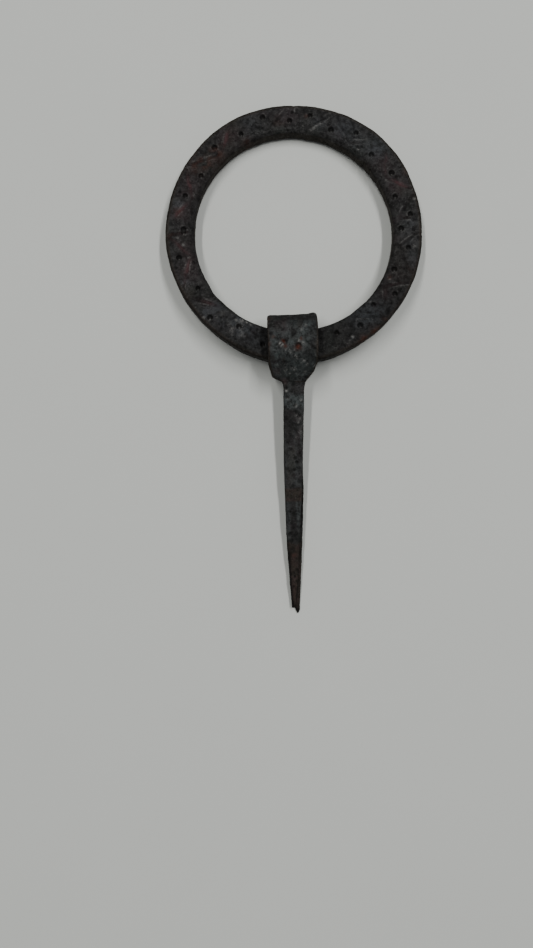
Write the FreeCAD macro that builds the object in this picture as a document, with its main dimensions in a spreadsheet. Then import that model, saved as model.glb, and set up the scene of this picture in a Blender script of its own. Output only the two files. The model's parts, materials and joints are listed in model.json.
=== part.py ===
"""Ring-headed pricking iron, in millimetres: a forged ring and a strap folded round it into a spike.

The iron is two pieces.  The ring is a flat bar forged into a closed, slightly uneven hoop, with two
rows of punch marks on its front face.  The spike is one strap, folded round the ring's bar into a
wide eye; its two legs are hammered together below the eye and taper to a split point.

Frame: the iron lies on its back.  +Y runs from the point of the spike to the ring, +X to the right,
+Z up.  The origin is under the middle of the whole iron, on the surface that it lies on.

Each piece is drawn in a frame of its own: the ring about its own centre with its front face towards
+Z, and the spike about the hinge line inside its eye.  place_pieces() lays both down.
"""
import FreeCAD, Part
import math
import os
import Sketcher

# Driving dimensions: alias, value (mm, or degrees where the note says so) and what it is.
SIZES = (
    ("ring_outside_radius", 54.75, "mean radius of the ring's outer edge"),
    ("ring_inside_radius", 42.35, "mean radius of the ring's inner edge"),
    ("ring_thickness", 6.0, "front face to back face"),
    ("ring_edge_round", 1.1, "rounding of the ring's worn edges"),
    ("outside_oval", 0.8, "how far the outer edge bulges towards and away from the spike"),
    ("outside_three_lobe", 0.25, "three-sided unevenness of the outer edge"),
    ("outside_five_lobe", 0.25, "five-sided unevenness of the outer edge"),
    ("outside_shift_across", 0.25, "centre of the outer edge, across the ring's centre"),
    ("outside_shift_along", -0.35, "centre of the outer edge, along the ring's centre"),
    ("inside_oval", 0.55, "how far the inner edge bulges towards and away from the spike"),
    ("inside_three_lobe", 0.15, "three-sided unevenness of the inner edge"),
    ("inside_shift_across", -0.05, "centre of the inner edge, across the ring's centre"),
    ("inside_shift_along", -0.35, "centre of the inner edge, along the ring's centre"),
    ("bevel_radius", 43.9, "mouth radius of the cone that bevels the ring's inner front edge"),
    ("bevel_depth", 1.9, "depth of that cone"),
    ("bevel_slope", 2.4, "how much narrower the cone is at its foot"),
    ("bevel_shift_across", -0.6, "centre of the cone, across the ring's centre"),
    ("bevel_shift_along", 0.3, "centre of the cone, along the ring's centre"),
    ("punch_diameter", 2.5, "punch marks in the ring"),
    ("punch_depth", 1.0, "depth of the punch marks in the ring"),
    ("hinge_to_ring_centre", 49.3, "hinge line in the eye to the ring's centre"),
    ("strap_thickness", 2.0, "wall of the eye"),
    ("strap_width", 20.7, "width of the eye"),
    ("strap_offset", -0.75, "middle of the eye, across the hinge's middle"),
    ("eye_gap", 16.2, "inside height of the eye: room for the ring's bar to turn over"),
    ("fold_reach", 13.5, "hinge line to the outside of the fold"),
    ("flat_inside", 3.2, "hinge line to the end of the eye's flat walls, inside"),
    ("flat_outside", 3.4, "hinge line to the end of the eye's flat walls, outside"),
    ("throat", 12.0, "hinge line to where the two legs meet inside the eye"),
    ("neck", 14.3, "hinge line to where the two legs lie together outside"),
    ("neck_thickness", 5.4, "both legs at the neck"),
    ("point_thickness", 2.0, "both legs at the point"),
    ("blank_width", 40.0, "width of the blank that the plan outlines are cut from"),
    ("blank_reach", 130.0, "half length of that blank"),
    ("plan_clearance", 0.4, "how far a cutting outline reaches past the metal it cuts"),
    ("lean_inset", 0.25, "how far the eye's right side leans in at the fold"),
    ("lean_end", 2.5, "hinge line to where that lean ends"),
    ("cheek_left", 6.6, "hinge line to the start of the eye's left cheek"),
    ("cheek_left_inset", 0.5, "how much narrower the eye is on the left there"),
    ("cheek_right", 6.9, "hinge line to the start of the eye's right cheek"),
    ("cheek_right_inset", 0.15, "how much narrower the eye is on the right there"),
    ("cheek_bend", 10.2, "hinge line to the bend in the right cheek"),
    ("cheek_bend_right", 8.2, "middle line to that bend"),
    ("cheek_foot", 4.8, "middle line to the foot of the right cheek"),
    ("shoulder", 13.1, "hinge line to the step on the left of the neck"),
    ("shoulder_width", 8.1, "middle line to the outer end of that step"),
    ("shoulder_wear", 1.0, "size of the worn corner above the step"),
    ("step_inner", 5.5, "middle line to the inner end of the step"),
    ("step_slope", 0.4, "how far the step slopes down towards its inner end"),
    ("neck_top", 15.4, "hinge line to the top of the neck's left side"),
    ("neck_base", 17.7, "hinge line to the end of the neck"),
    ("neck_left", 4.25, "middle line to the neck's left side"),
    ("neck_right", 4.3, "middle line to the neck's right side"),
    ("waist", 47.5, "hinge line to the start of the taper"),
    ("waist_left", 4.15, "middle line to the left edge there"),
    ("waist_right", 3.95, "middle line to the right edge there"),
    ("thin", 77.0, "hinge line to the thin part"),
    ("thin_left", 3.05, "middle line to its left edge"),
    ("thin_front_right", 3.1, "middle line to the front leg's right edge there"),
    ("thin_back_right", 4.15, "middle line to the back leg's right edge there"),
    ("point", 98.5, "hinge line to the start of the point"),
    ("point_left", 1.5, "middle line to its left edge"),
    ("point_front_right", 2.2, "middle line to the front leg's right edge there"),
    ("point_back_right", 3.45, "middle line to the back leg's right edge there"),
    ("front_end", 110.8, "hinge line to the front leg's broken end"),
    ("front_end_left", 0.45, "middle line to its left corner"),
    ("front_end_right", 1.0, "middle line to its right corner"),
    ("back_end", 113.5, "hinge line to the back leg's end, the tip of the iron"),
    ("back_end_middle", 2.1, "middle line to the middle of the tip"),
    ("back_end_half", 0.9, "half width of the tip"),
    ("back_end_taper", 1.0, "length of the tip's two slanted edges"),
    ("back_shows_from", 61.5, "hinge line to where the back leg shows beside the front one"),
    ("back_shows_right", 4.35, "middle line to the back leg's right edge there"),
    ("split_gap", 0.5, "gap between the legs at the tip"),
    ("split_length", 26.0, "length of that gap"),
    ("eye_mark_diameter", 2.3, "punch marks in the eye"),
    ("eye_mark_depth", 0.9, "depth of the punch marks in the eye"),
)

# Directions that the unevenness points in, in degrees from +X.
OUTSIDE_OVAL_TURN = 88.0
OUTSIDE_THREE_LOBE_TURN = 37.0
OUTSIDE_FIVE_LOBE_TURN = -24.0
INSIDE_OVAL_TURN = 100.0
INSIDE_THREE_LOBE_TURN = -13.0
OUTLINE_POINTS = 40

# Punch marks, struck by eye: angle round the ring in degrees from +X, and radius.
OUTER_ROW = ((8, 49.5), (31, 48.2), (58, 50.0), (82, 50.5), (105, 51.0), (133, 49.1), (162, 48.0),
             (194, 49.5), (227, 51.2), (255, 50.5), (280, 50.0), (304, 49.1), (327, 50.2), (351, 48.6))
INNER_ROW = ((1, 45.1), (19, 45.2), (45, 46.6), (70, 46.5), (92, 47.8), (118, 47.4), (149, 45.6),
             (181, 46.3), (212, 47.2), (241, 47.1), (267, 47.0), (292, 47.3), (316, 46.0), (338, 45.2))
EYE_MARKS = ((-3.9, 1.2), (1.5, -0.2))


def make_sheet(doc):
    """The spreadsheet of driving dimensions, one alias to a row."""
    sheet = doc.addObject("Spreadsheet::Sheet", "Sizes")
    for row, (alias, value, note) in enumerate(SIZES, start=1):
        sheet.set(f"A{row}", alias)
        sheet.set(f"B{row}", str(value))
        sheet.set(f"C{row}", note)
        sheet.setAlias(f"B{row}", alias)
    doc.recompute()
    return sheet


def new_body(doc, name):
    """An empty body whose label names the piece."""
    body = doc.addObject("PartDesign::Body", name)
    body.Label = name
    return body


def new_sketch(body, name, role, lift=None):
    """A sketch on one of the body's own planes, lifted off it where an expression says so."""
    plane = next(feature for feature in body.Origin.OriginFeatures if feature.Role == role)
    sketch = body.newObject("Sketcher::SketchObject", name)
    sketch.AttachmentSupport = (plane, [""])
    sketch.MapMode = "FlatFace"
    if lift:
        sketch.setExpression("AttachmentOffset.Base.z", lift)
    return sketch


def pin_point(sketch, geometry, end, across, along):
    """Hold one point of a sketch at a pair of expressions, starting from where it was drawn."""
    drawn = sketch.getPoint(geometry, end)
    for kind, place, expression in (("DistanceX", drawn.x, across), ("DistanceY", drawn.y, along)):
        index = sketch.addConstraint(Sketcher.Constraint(kind, -1, 1, geometry, end, place))
        sketch.setExpression(f"Constraints[{index}]", expression)


def closed_outline(sketch, corners):
    """Draw straight edges round the corners, each a pair of expressions for its place."""
    first = sketch.GeometryCount
    count = len(corners)
    rough = [
        FreeCAD.Vector(math.cos(math.tau * i / count), math.sin(math.tau * i / count), 0)
        for i in range(count)
    ]
    for i in range(count):
        sketch.addGeometry(Part.LineSegment(rough[i], rough[(i + 1) % count]), False)
    for i in range(count):
        sketch.addConstraint(
            Sketcher.Constraint("Coincident", first + i, 2, first + (i + 1) % count, 1)
        )
    for i, (across, along) in enumerate(corners):
        pin_point(sketch, first + i, 1, across, along)


def folded_outline(sketch, corners, fold_centre, rough_centre, rough_radius):
    """Draw a chain of straight edges whose two ends are joined by the round fold.

    The fold's centre is an expression; the rough centre and radius are where it is first drawn.
    """
    first = sketch.GeometryCount
    last = first + len(corners) - 1
    turns = [math.pi / 2 + math.pi * i / (len(corners) - 1) for i in range(len(corners))]
    rough = [
        FreeCAD.Vector(rough_centre + rough_radius * math.cos(turn), rough_radius * math.sin(turn), 0)
        for turn in turns
    ]
    for start, end in zip(rough, rough[1:]):
        sketch.addGeometry(Part.LineSegment(start, end), False)
    circle = Part.Circle(FreeCAD.Vector(rough_centre, 0, 0), FreeCAD.Vector(0, 0, 1), rough_radius)
    sketch.addGeometry(Part.ArcOfCircle(circle, -math.pi / 2, math.pi / 2), False)
    for edge in range(first, last - 1):
        sketch.addConstraint(Sketcher.Constraint("Coincident", edge, 2, edge + 1, 1))
    for i, (across, along) in enumerate(corners[:-1]):
        pin_point(sketch, first + i, 1, across, along)
    pin_point(sketch, last - 1, 2, *corners[-1])
    sketch.addConstraint(Sketcher.Constraint("Coincident", last, 2, first, 1))
    sketch.addConstraint(Sketcher.Constraint("Coincident", last, 1, last - 1, 2))
    index = sketch.addConstraint(Sketcher.Constraint("DistanceX", -1, 1, last, 3, rough_centre))
    sketch.setExpression(f"Constraints[{index}]", fold_centre)


def round_marks(sketch, centres, diameter):
    """Circles of one bound diameter at the given places."""
    for i, (across, along) in enumerate(centres):
        circle = Part.Circle(FreeCAD.Vector(across, along, 0), FreeCAD.Vector(0, 0, 1), 1.0)
        sketch.addGeometry(circle, False)
        if i:
            sketch.addConstraint(Sketcher.Constraint("Equal", 0, i))
    index = sketch.addConstraint(Sketcher.Constraint("Radius", 0, 1.0))
    sketch.setExpression(f"Constraints[{index}]", f"{diameter} / 2")


def pad_symmetric(body, name, sketch, length):
    """A pad that grows equally to both sides of its sketch."""
    pad = body.newObject("PartDesign::Pad", name)
    pad.Profile = sketch
    pad.SideType = "Symmetric"
    pad.setExpression("Length", length)
    return pad


def pocket(body, name, sketch, length, upwards=False, side="One side"):
    """A pocket cut from its sketch: down, up, or to both sides of it."""
    cut = body.newObject("PartDesign::Pocket", name)
    cut.Profile = sketch
    cut.SideType = side
    cut.Reversed = upwards
    cut.setExpression("Length", length)
    return cut


def uneven_loop(mean, lobes, shift_across, shift_along):
    """A closed smooth curve: a shifted circle with a few (count, size, turn in degrees) lobes."""
    points = []
    for i in range(OUTLINE_POINTS):
        angle = math.tau * i / OUTLINE_POINTS
        radius = mean
        for count, size, turn in lobes:
            radius += size * math.cos(count * (angle - math.radians(turn)))
        points.append(
            FreeCAD.Vector(
                radius * math.cos(angle) + shift_across, radius * math.sin(angle) + shift_along, 0
            )
        )
    curve = Part.BSplineCurve()
    curve.interpolate(Points=points, PeriodicFlag=True)
    return curve


def edges_at(shape, height, radius, nearer):
    """Names of the closed edges at a height whose points lie nearer than, or beyond, a radius."""
    names = []
    for number, edge in enumerate(shape.Edges, start=1):
        box = edge.BoundBox
        level = abs(box.ZMin - height) < 0.01 and abs(box.ZMax - height) < 0.01
        reach = edge.Vertexes[0].Point.Length
        if level and (reach < radius) == nearer:
            names.append(f"Edge{number}")
    return names


def make_ring(doc, sheet):
    """The ring: padded hoop, worn edges, bevelled inner front edge and punch marks."""
    body = new_body(doc, "ring")
    outline = new_sketch(body, "ring_outline", "XY_Plane")
    outside_lobes = (
        (2, sheet.outside_oval, OUTSIDE_OVAL_TURN),
        (3, sheet.outside_three_lobe, OUTSIDE_THREE_LOBE_TURN),
        (5, sheet.outside_five_lobe, OUTSIDE_FIVE_LOBE_TURN),
    )
    inside_lobes = (
        (2, sheet.inside_oval, INSIDE_OVAL_TURN),
        (3, sheet.inside_three_lobe, INSIDE_THREE_LOBE_TURN),
    )
    outside_centre = (sheet.outside_shift_across, sheet.outside_shift_along)
    inside_centre = (sheet.inside_shift_across, sheet.inside_shift_along)
    outline.addGeometry(uneven_loop(sheet.ring_outside_radius, outside_lobes, *outside_centre), False)
    outline.addGeometry(uneven_loop(sheet.ring_inside_radius, inside_lobes, *inside_centre), False)
    hoop = pad_symmetric(body, "ring_hoop", outline, "Sizes.ring_thickness")
    doc.recompute()

    middle_radius = (sheet.ring_outside_radius + sheet.ring_inside_radius) / 2
    half = sheet.ring_thickness / 2
    worn = body.newObject("PartDesign::Fillet", "ring_worn_edges")
    worn.Base = (
        hoop,
        edges_at(hoop.Shape, half, middle_radius, False)
        + edges_at(hoop.Shape, -half, middle_radius, False)
        + edges_at(hoop.Shape, -half, middle_radius, True),
    )
    worn.setExpression("Radius", "Sizes.ring_edge_round")
    doc.recompute()

    bevel = body.newObject("PartDesign::SubtractiveCone", "ring_bevel")
    bevel.setExpression("Radius1", "Sizes.bevel_radius - Sizes.bevel_slope")
    bevel.setExpression("Radius2", "Sizes.bevel_radius")
    bevel.setExpression("Height", "Sizes.bevel_depth")
    bevel.setExpression("Placement.Base.x", "Sizes.bevel_shift_across")
    bevel.setExpression("Placement.Base.y", "Sizes.bevel_shift_along")
    bevel.setExpression("Placement.Base.z", "Sizes.ring_thickness / 2 - Sizes.bevel_depth")
    doc.recompute()

    marks = new_sketch(body, "ring_marks", "XY_Plane", "Sizes.ring_thickness / 2")
    centres = [
        (radius * math.cos(math.radians(angle)), radius * math.sin(math.radians(angle)))
        for angle, radius in OUTER_ROW + INNER_ROW
    ]
    round_marks(marks, centres, "Sizes.punch_diameter")
    pocket(body, "ring_punches", marks, "Sizes.punch_depth")
    doc.recompute()
    return body


def side_profile(body, sheet):
    """The strap seen from the side: the eye, the neck and both legs down to the point."""
    sketch = new_sketch(body, "spike_side", "YZ_Plane")
    rough_inner = sheet.eye_gap / 2
    rough_outer = rough_inner + sheet.strap_thickness
    rough_centre = sheet.fold_reach - rough_outer
    outer_half = "(Sizes.eye_gap / 2 + Sizes.strap_thickness)"
    inner_half = "Sizes.eye_gap / 2"
    fold_centre = "Sizes.fold_reach - Sizes.strap_thickness - Sizes.eye_gap / 2"
    folded_outline(
        sketch,
        (
            (fold_centre, outer_half),
            ("-Sizes.flat_outside", outer_half),
            ("-Sizes.neck", "Sizes.neck_thickness / 2"),
            ("-Sizes.back_end", "Sizes.point_thickness / 2"),
            ("-Sizes.back_end", "-Sizes.point_thickness / 2"),
            ("-Sizes.neck", "-Sizes.neck_thickness / 2"),
            ("-Sizes.flat_outside", f"-{outer_half}"),
            (fold_centre, f"-{outer_half}"),
        ),
        fold_centre,
        rough_centre,
        rough_outer,
    )
    folded_outline(
        sketch,
        (
            (fold_centre, inner_half),
            ("-Sizes.flat_inside", inner_half),
            ("-Sizes.throat", "0"),
            ("-Sizes.flat_inside", f"-{inner_half}"),
            (fold_centre, f"-{inner_half}"),
        ),
        fold_centre,
        rough_centre,
        rough_inner,
    )
    return sketch


def leg_outline(right_side):
    """Plan of the eye and one leg: the shared left side and neck, then the leg's own right side."""
    left = "(Sizes.strap_offset - Sizes.strap_width / 2)"
    right = "(Sizes.strap_offset + Sizes.strap_width / 2)"
    shared = (
        (f"{right} - Sizes.lean_inset", "Sizes.fold_reach + Sizes.plan_clearance"),
        (left, "Sizes.fold_reach + Sizes.plan_clearance"),
        (left, "Sizes.cheek_left"),
        (f"{left} + Sizes.cheek_left_inset", "-Sizes.cheek_left"),
        ("-Sizes.shoulder_width - Sizes.shoulder_wear", "-Sizes.shoulder + Sizes.shoulder_wear"),
        ("-Sizes.shoulder_width", "-Sizes.shoulder"),
        ("-Sizes.step_inner", "-Sizes.shoulder - Sizes.step_slope"),
        ("-Sizes.neck_left", "-Sizes.neck_top"),
        ("-Sizes.neck_left", "-Sizes.neck_base"),
        ("-Sizes.waist_left", "-Sizes.waist"),
        ("-Sizes.thin_left", "-Sizes.thin"),
        ("-Sizes.point_left", "-Sizes.point"),
    )
    cheek = (
        ("Sizes.waist_right", "-Sizes.waist"),
        ("Sizes.neck_right", "-Sizes.neck_base"),
        ("Sizes.cheek_foot", "-Sizes.neck"),
        ("Sizes.cheek_bend_right", "-Sizes.cheek_bend"),
        (f"{right} - Sizes.cheek_right_inset", "-Sizes.cheek_right"),
        (right, "Sizes.lean_end"),
    )
    return shared + right_side + cheek


FRONT_LEG = (
    ("-Sizes.front_end_left", "-Sizes.front_end"),
    ("Sizes.front_end_right", "-Sizes.front_end"),
    ("Sizes.point_front_right", "-Sizes.point"),
    ("Sizes.thin_front_right", "-Sizes.thin"),
)
BACK_LEG = (
    ("Sizes.back_end_middle - Sizes.back_end_half", "-Sizes.back_end + Sizes.back_end_taper"),
    ("Sizes.back_end_middle", "-Sizes.back_end"),
    ("Sizes.back_end_middle + Sizes.back_end_half", "-Sizes.back_end + Sizes.back_end_taper"),
    ("Sizes.point_back_right", "-Sizes.point"),
    ("Sizes.thin_back_right", "-Sizes.thin"),
    ("Sizes.back_shows_right", "-Sizes.back_shows_from"),
)


def trim_plan(body, name, leg, upwards):
    """Cut away what lies outside one leg's plan outline, on that leg's side of the fold."""
    sketch = new_sketch(body, name, "XY_Plane")
    closed_outline(
        sketch,
        (
            ("Sizes.blank_width", "Sizes.blank_reach"),
            ("-Sizes.blank_width", "Sizes.blank_reach"),
            ("-Sizes.blank_width", "-Sizes.blank_reach"),
            ("Sizes.blank_width", "-Sizes.blank_reach"),
        ),
    )
    closed_outline(sketch, leg_outline(leg))
    pocket(body, f"{name}_cut", sketch, "Sizes.blank_width", upwards)


def make_spike(doc, sheet):
    """The folded strap: side profile, the two legs' plans, the split point and the eye's marks."""
    body = new_body(doc, "split_spike")
    pad_symmetric(body, "spike_blank", side_profile(body, sheet), "Sizes.blank_width")
    trim_plan(body, "front_leg", FRONT_LEG, upwards=True)
    trim_plan(body, "back_leg", BACK_LEG, upwards=False)
    doc.recompute()

    split = new_sketch(body, "point_split", "YZ_Plane")
    closed_outline(
        split,
        (
            ("-Sizes.back_end - Sizes.plan_clearance", "Sizes.split_gap / 2"),
            ("-Sizes.back_end - Sizes.plan_clearance", "-Sizes.split_gap / 2"),
            ("-Sizes.back_end + Sizes.split_length", "0"),
        ),
    )
    pocket(body, "point_split_cut", split, "Sizes.blank_width", side="Symmetric")
    marks = new_sketch(body, "eye_marks", "XY_Plane", "Sizes.eye_gap / 2 + Sizes.strap_thickness")
    round_marks(marks, EYE_MARKS, "Sizes.eye_mark_diameter")
    pocket(body, "eye_punches", marks, "Sizes.eye_mark_depth")
    doc.recompute()
    return body


def spike_pitch(sheet):
    """How far the spike slopes down so that its eye and its point both touch the surface."""
    eye_half = sheet.eye_gap / 2 + sheet.strap_thickness
    point_half = sheet.point_thickness / 2
    return math.atan2(eye_half - point_half, sheet.back_end - sheet.flat_outside)


def hinge_height(sheet, pitch):
    """Height of the hinge line above the surface that the eye rests on."""
    eye_half = sheet.eye_gap / 2 + sheet.strap_thickness
    return eye_half * math.cos(pitch) + sheet.flat_outside * math.sin(pitch)


def ring_pitch(sheet, height, far_radius):
    """How far the ring slopes down from the hinge so that its far side touches the surface."""
    reach = sheet.hinge_to_ring_centre + far_radius - sheet.ring_edge_round
    drop = sheet.ring_thickness / 2 - sheet.ring_edge_round
    return math.asin((height - sheet.ring_edge_round) / math.hypot(reach, drop)) - math.atan2(drop, reach)


def place_pieces(doc, sheet, ring, spike):
    """Lay both pieces down and put the origin under the middle of the whole iron."""
    pitch = spike_pitch(sheet)
    height = hinge_height(sheet, pitch)
    tilt = ring_pitch(sheet, height, ring.Shape.optimalBoundingBox().YMax)
    across = FreeCAD.Vector(1, 0, 0)
    hinge = FreeCAD.Vector(0, 0, height)
    for _ in range(2):
        spike.Placement = FreeCAD.Placement(hinge, FreeCAD.Rotation(across, math.degrees(pitch)))
        ring_turn = FreeCAD.Rotation(across, -math.degrees(tilt))
        to_centre = ring_turn.multVec(FreeCAD.Vector(0, sheet.hinge_to_ring_centre, 0))
        ring.Placement = FreeCAD.Placement(hinge + to_centre, ring_turn)
        doc.recompute()
        box = ring.Shape.optimalBoundingBox()
        box.add(spike.Shape.optimalBoundingBox())
        hinge = hinge - FreeCAD.Vector(box.Center.x, box.Center.y, box.ZMin)
    return pitch, tilt, hinge


def check(doc, pieces):
    """Stop if any object failed, or if a piece's shape is not one sound solid."""
    for item in doc.Objects:
        if "Invalid" in item.State or "Error" in item.State:
            raise RuntimeError(f"{item.Name} is {item.State}")
    for piece in pieces:
        shape = piece.Shape
        if shape.isNull() or not shape.isValid() or len(shape.Solids) != 1:
            raise RuntimeError(f"{piece.Label} is not one sound solid")


def main():
    doc = FreeCAD.newDocument("pricking_iron")
    sheet = make_sheet(doc)
    ring = make_ring(doc, sheet)
    spike = make_spike(doc, sheet)
    pitch, tilt, hinge = place_pieces(doc, sheet, ring, spike)
    check(doc, (ring, spike))
    os.makedirs("parts", exist_ok=True)
    for piece in (ring, spike):
        piece.Shape.exportStep(f"parts/{piece.Label}.step")
        print(piece.Label, "volume", round(piece.Shape.Volume, 1), piece.Shape.optimalBoundingBox())
    print(f"hinge {hinge}, spike pitch {math.degrees(pitch):.3f}, ring tilt {math.degrees(tilt):.3f}")


main()
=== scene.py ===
"""Looks of the ring-headed pricking iron: forged surfaces, incised work, patina, rust, light and camera.

Lengths in this script are millimetres until a mesh is made; Blender's own units are metres.
Each piece is drawn in a frame of its own and then laid down where the CAD frame has it: the ring
about its own centre with its front face towards +Z, the spike about the hinge line in its eye.

Noise sizes and seeds are named in each piece's section. The two numbers that smoothstep gets before
its value are where a soft step begins and ends.
"""

import json
import math
from types import SimpleNamespace

import bpy
import numpy as np
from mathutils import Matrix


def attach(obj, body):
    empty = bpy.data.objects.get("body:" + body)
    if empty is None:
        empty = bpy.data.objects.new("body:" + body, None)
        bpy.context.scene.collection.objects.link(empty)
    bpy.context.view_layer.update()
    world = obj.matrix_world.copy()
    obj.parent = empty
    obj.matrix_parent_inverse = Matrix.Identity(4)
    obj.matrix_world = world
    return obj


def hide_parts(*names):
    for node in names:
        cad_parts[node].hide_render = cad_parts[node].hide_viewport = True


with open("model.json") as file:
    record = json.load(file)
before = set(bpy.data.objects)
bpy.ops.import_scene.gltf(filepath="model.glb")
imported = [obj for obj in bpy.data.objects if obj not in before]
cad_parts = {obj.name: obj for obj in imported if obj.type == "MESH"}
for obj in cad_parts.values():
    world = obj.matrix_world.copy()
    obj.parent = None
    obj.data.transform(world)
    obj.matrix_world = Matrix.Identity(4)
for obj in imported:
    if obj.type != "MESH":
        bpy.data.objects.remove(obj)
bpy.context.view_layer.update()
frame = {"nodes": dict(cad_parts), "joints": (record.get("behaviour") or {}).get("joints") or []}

MM = 0.001

# How the two pieces lie, as in the CAD model.
HINGE = np.array(frame["joints"][0]["pos_m"]) / MM
RING_TILT = math.radians(-4.094)
SPIKE_PITCH = math.radians(4.725)
HINGE_TO_RING_CENTRE = 49.3

# The ring's section, as in the CAD model.
RING_HALF = 3.0
EDGE_ROUND = 1.1
BEVEL_FALL = 1.9 / 2.4
BEVEL_RADIUS = 43.9
BEVEL_CENTRE = (-0.6, 0.3)
PUNCH_DEPTH = 1.0
PUNCH_RADIUS = 1.25

# The strap seen from the side, as in the CAD model.
EYE_OUTER = 10.1
EYE_INNER = 8.1
FOLD_CENTRE = 3.4
FLAT_OUTSIDE = -3.4
FLAT_INSIDE = -3.2
THROAT = -12.0
NECK = -14.3
NECK_HALF = 2.7
POINT_HALF = 1.0
FRONT_END = -110.8
BACK_END = -113.5
SPLIT_START = BACK_END + 26.0
SPLIT_HALF = 0.25
SEAM_HALF = 0.04

# Where the camera stands, from the ring's centre and above the floor.
CAMERA_LEFT = 11.43
CAMERA_BELOW = 102.17
CAMERA_HEIGHT = 297.0
SENSOR_WIDTH = 36.0
LENS = 26.01
CLIP_START = 0.01


# -------------------- small tools

# Multipliers and shifts that scramble whole numbers into fixed, random-looking ones.
CELL_MULTIPLIERS = (374761393, 668265263, 2246822519)
SEED_MULTIPLIER = 3266489917
LAST_MULTIPLIER = 1274126177
FIRST_SHIFT = 13
LAST_SHIFT = 16
KEPT_BITS = 0xFFFFFF

# Noise is read this far from the origin, where all cell numbers are positive.
NOISE_OFFSET = 1000.0
LAYER_SHRINK = 2.1
LAYER_FADE = 0.55
LAYER_TOTAL = 1.5
LAYER_SEED_STEP = 17

FAR = 99.0
TINY = 1e-9


def smoothstep(low, high, value):
    """0 below low, 1 above high, smooth between."""
    share = np.clip((value - low) / (high - low), 0.0, 1.0)
    return share * share * (3.0 - 2.0 * share)


def hump(value, width):
    """1 where the value is 0, falling to nothing a few widths away."""
    return np.exp(-((value / width) ** 2))


def turn_about_x(points, angle):
    """Points turned about the X axis."""
    cos, sin = math.cos(angle), math.sin(angle)
    x, y, z = points[..., 0], points[..., 1], points[..., 2]
    return np.stack((x, y * cos - z * sin, y * sin + z * cos), axis=-1)


def lattice_value(cells, seed):
    """A fixed number from 0 to 1 for each whole-number cell."""
    mixed = np.full(cells.shape[:-1], seed * SEED_MULTIPLIER % 2**32, dtype=np.uint32)
    for axis, multiplier in enumerate(CELL_MULTIPLIERS):
        mixed += cells[..., axis].astype(np.uint32) * np.uint32(multiplier)
    mixed = (mixed ^ (mixed >> np.uint32(FIRST_SHIFT))) * np.uint32(LAST_MULTIPLIER)
    mixed = mixed ^ (mixed >> np.uint32(LAST_SHIFT))
    return (mixed & np.uint32(KEPT_BITS)).astype(float) / KEPT_BITS


def noise(points, size, seed):
    """Smooth noise from -1 to 1 whose lumps are about size across."""
    scaled = points / size + NOISE_OFFSET
    cells = np.floor(scaled).astype(np.int64)
    share = scaled - cells
    share = share * share * (3.0 - 2.0 * share)
    total = np.zeros(points.shape[:-1])
    for corner in np.ndindex(2, 2, 2):
        weight = np.prod(np.where(corner, share, 1.0 - share), axis=-1)
        total += weight * lattice_value(cells + np.array(corner), seed)
    return total * 2.0 - 1.0


def layered_noise(points, size, seed):
    """Noise with one finer and fainter layer added, from about -1 to 1."""
    coarse = noise(points, size, seed)
    fine = noise(points, size / LAYER_SHRINK, seed + LAYER_SEED_STEP)
    return (coarse + fine * LAYER_FADE) / LAYER_TOTAL


def pits(points, size, seed):
    """Distance to the nearest of scattered points, in units of their mean spacing."""
    scaled = points / size + NOISE_OFFSET
    cells = np.floor(scaled).astype(np.int64)
    nearest = np.full(points.shape[:-1], FAR)
    for step in np.ndindex(3, 3, 3):
        cell = cells + np.array(step) - 1
        jitter = np.stack([lattice_value(cell, seed + axis) for axis in (1, 2, 3)], axis=-1)
        nearest = np.minimum(nearest, np.linalg.norm(cell + jitter - scaled, axis=-1))
    return nearest


def distance_to_segment(across, along, start, end):
    """Distance of points in a plane from one straight stroke."""
    run = np.array(end, float) - np.array(start, float)
    share = ((across - start[0]) * run[0] + (along - start[1]) * run[1]) / (run @ run)
    share = np.clip(share, 0.0, 1.0)
    return np.hypot(across - start[0] - share * run[0], along - start[1] - share * run[1])


def grid_faces(rows, columns, rows_closed):
    """Quads of a grid whose columns close on themselves, and whose rows may."""
    row_count = rows if rows_closed else rows - 1
    row, column = np.meshgrid(np.arange(row_count), np.arange(columns), indexing="ij")
    next_row = (row + 1) % rows
    next_column = (column + 1) % columns
    corners = (
        row * columns + column,
        row * columns + next_column,
        next_row * columns + next_column,
        next_row * columns + column,
    )
    return np.stack(corners, axis=-1).reshape(-1, 4)


def grid_normals(points, rows_closed):
    """Unit normals of a grid of points, from its neighbours' differences; they may all point inward."""
    around = np.roll(points, -1, axis=1) - np.roll(points, 1, axis=1)
    if rows_closed:
        along = np.roll(points, -1, axis=0) - np.roll(points, 1, axis=0)
    else:
        along = np.gradient(points, axis=0)
    normal = np.cross(around, along)
    return normal / np.maximum(np.linalg.norm(normal, axis=-1, keepdims=True), TINY)


def make_piece(name, points, faces, marks):
    """A mesh object from points in millimetres, with one named number per point for each mark."""
    mesh = bpy.data.meshes.new(name)
    mesh.from_pydata((points * MM).tolist(), [], [list(face) for face in faces])
    for key, values in marks.items():
        attribute = mesh.attributes.new(key, "FLOAT", "POINT")
        attribute.data.foreach_set("value", values.astype(np.float32))
    mesh.polygons.foreach_set("use_smooth", [True] * len(mesh.polygons))
    mesh.update()
    piece = bpy.data.objects.new(name, mesh)
    bpy.context.scene.collection.objects.link(piece)
    return piece


def cad_points(node):
    """A CAD node's points in millimetres."""
    mesh = frame["nodes"][node].data
    flat = np.zeros(len(mesh.vertices) * 3)
    mesh.vertices.foreach_get("co", flat)
    return flat.reshape(-1, 3) / MM


def cad_triangles(node):
    """A CAD node's triangles as corner numbers."""
    mesh = frame["nodes"][node].data
    mesh.calc_loop_triangles()
    flat = np.zeros(len(mesh.loop_triangles) * 3, dtype=np.int32)
    mesh.loop_triangles.foreach_get("vertices", flat)
    return flat.reshape(-1, 3)


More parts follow.
